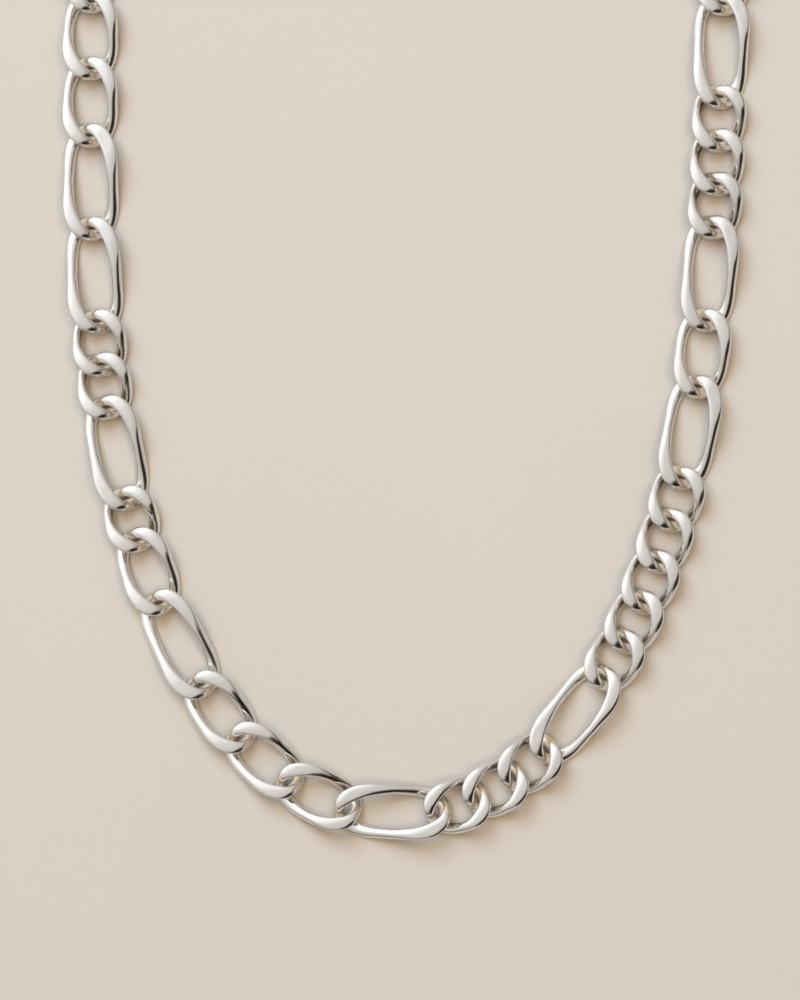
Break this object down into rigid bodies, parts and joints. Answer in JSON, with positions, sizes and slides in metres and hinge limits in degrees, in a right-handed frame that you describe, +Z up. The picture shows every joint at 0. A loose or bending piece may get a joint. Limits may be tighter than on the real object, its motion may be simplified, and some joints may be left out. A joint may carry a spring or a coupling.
{
  "type": "figaro chain necklace",
  "caption": "Closed necklace of interlocking twisted oval links, short ones grouped between long ones, laid flat in a long loop with a closed clasp at the back.",
  "frame": {"origin": "middle of the loop's box, on the surface it lies on", "axes": "+Y from the front of the necklace to the clasp at its back, +Z up off the surface, +X to the viewer's right"},
  "size_m": [0.0864, 0.2138, 0.0026],
  "materials": {
    "polished_steel": "polished silver-tone stainless steel, bright all over"
  },
  "bodies": {
    "root": {"round_links": "polished_steel", "long_links": "polished_steel", "clasp": "polished_steel"}
  },
  "joints": []
}
